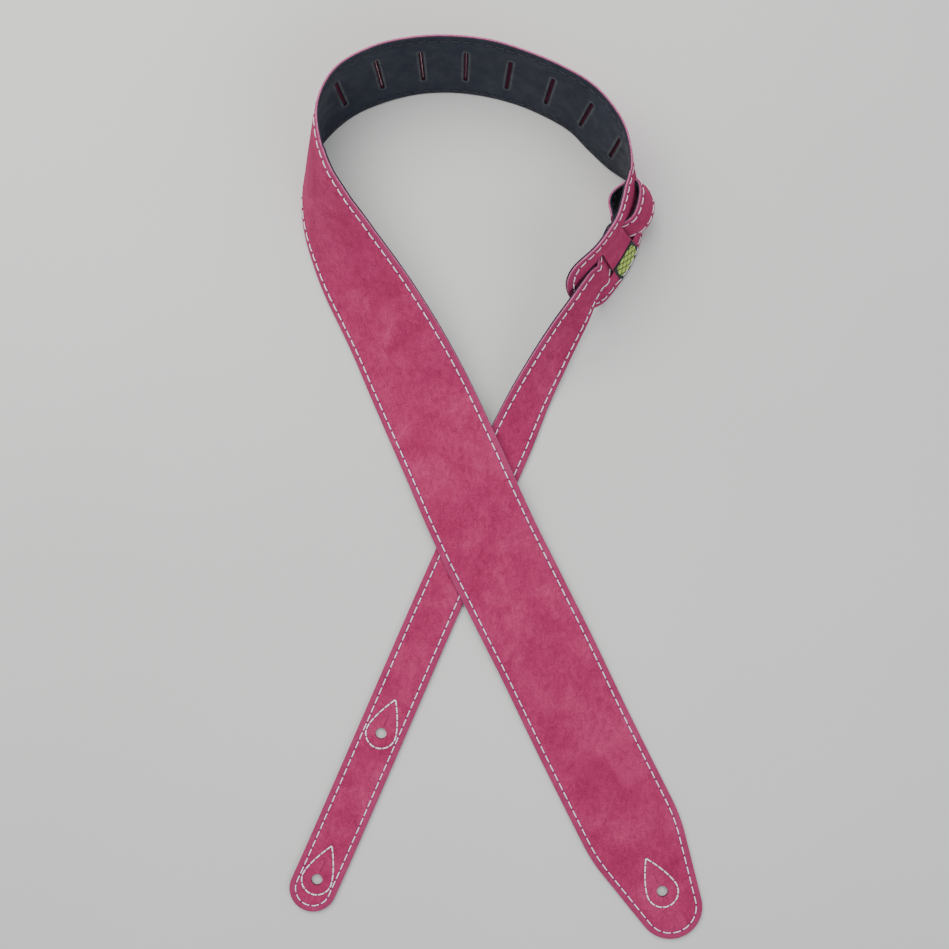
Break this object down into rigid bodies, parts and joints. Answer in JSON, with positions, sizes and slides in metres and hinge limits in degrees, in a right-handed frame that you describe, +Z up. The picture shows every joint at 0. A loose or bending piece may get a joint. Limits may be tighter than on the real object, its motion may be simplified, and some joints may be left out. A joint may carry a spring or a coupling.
{
  "type": "guitar strap",
  "caption": "Suede-faced leather guitar strap: a wide stitched main band with a row of adjusting slots, a narrow tail threaded through them, strap button holes and a woven label.",
  "frame": {"origin": "middle of the lying strap's box in plan, at the table it lies on", "axes": "+Z up off the table, +Y along the longer side of the strap as laid, from its button ends towards the loop"},
  "size_m": [0.2613, 0.5547, 0.0642],
  "materials": {
    "suede": "raspberry suede, short mottled nap",
    "lining": "smooth near-black navy leather, low sheen",
    "needle_thread": "white sewing thread",
    "bobbin_thread": "dark sewing thread",
    "label": "woven label, lime green pattern on black"
  },
  "bodies": {
    "root": {"main_suede": "suede", "main_backing": "lining", "main_top_thread": "needle_thread", "main_under_thread": "bobbin_thread", "main_hole_top_thread": "needle_thread", "main_hole_under_thread": "bobbin_thread", "tail_suede": "suede", "tail_backing": "lining", "tail_top_thread": "needle_thread", "tail_under_thread": "bobbin_thread", "tail_end_hole_top_thread": "needle_thread", "tail_end_hole_under_thread": "bobbin_thread", "tail_inner_hole_top_thread": "needle_thread", "tail_inner_hole_under_thread": "bobbin_thread", "woven_label": "label"}
  },
  "joints": []
}
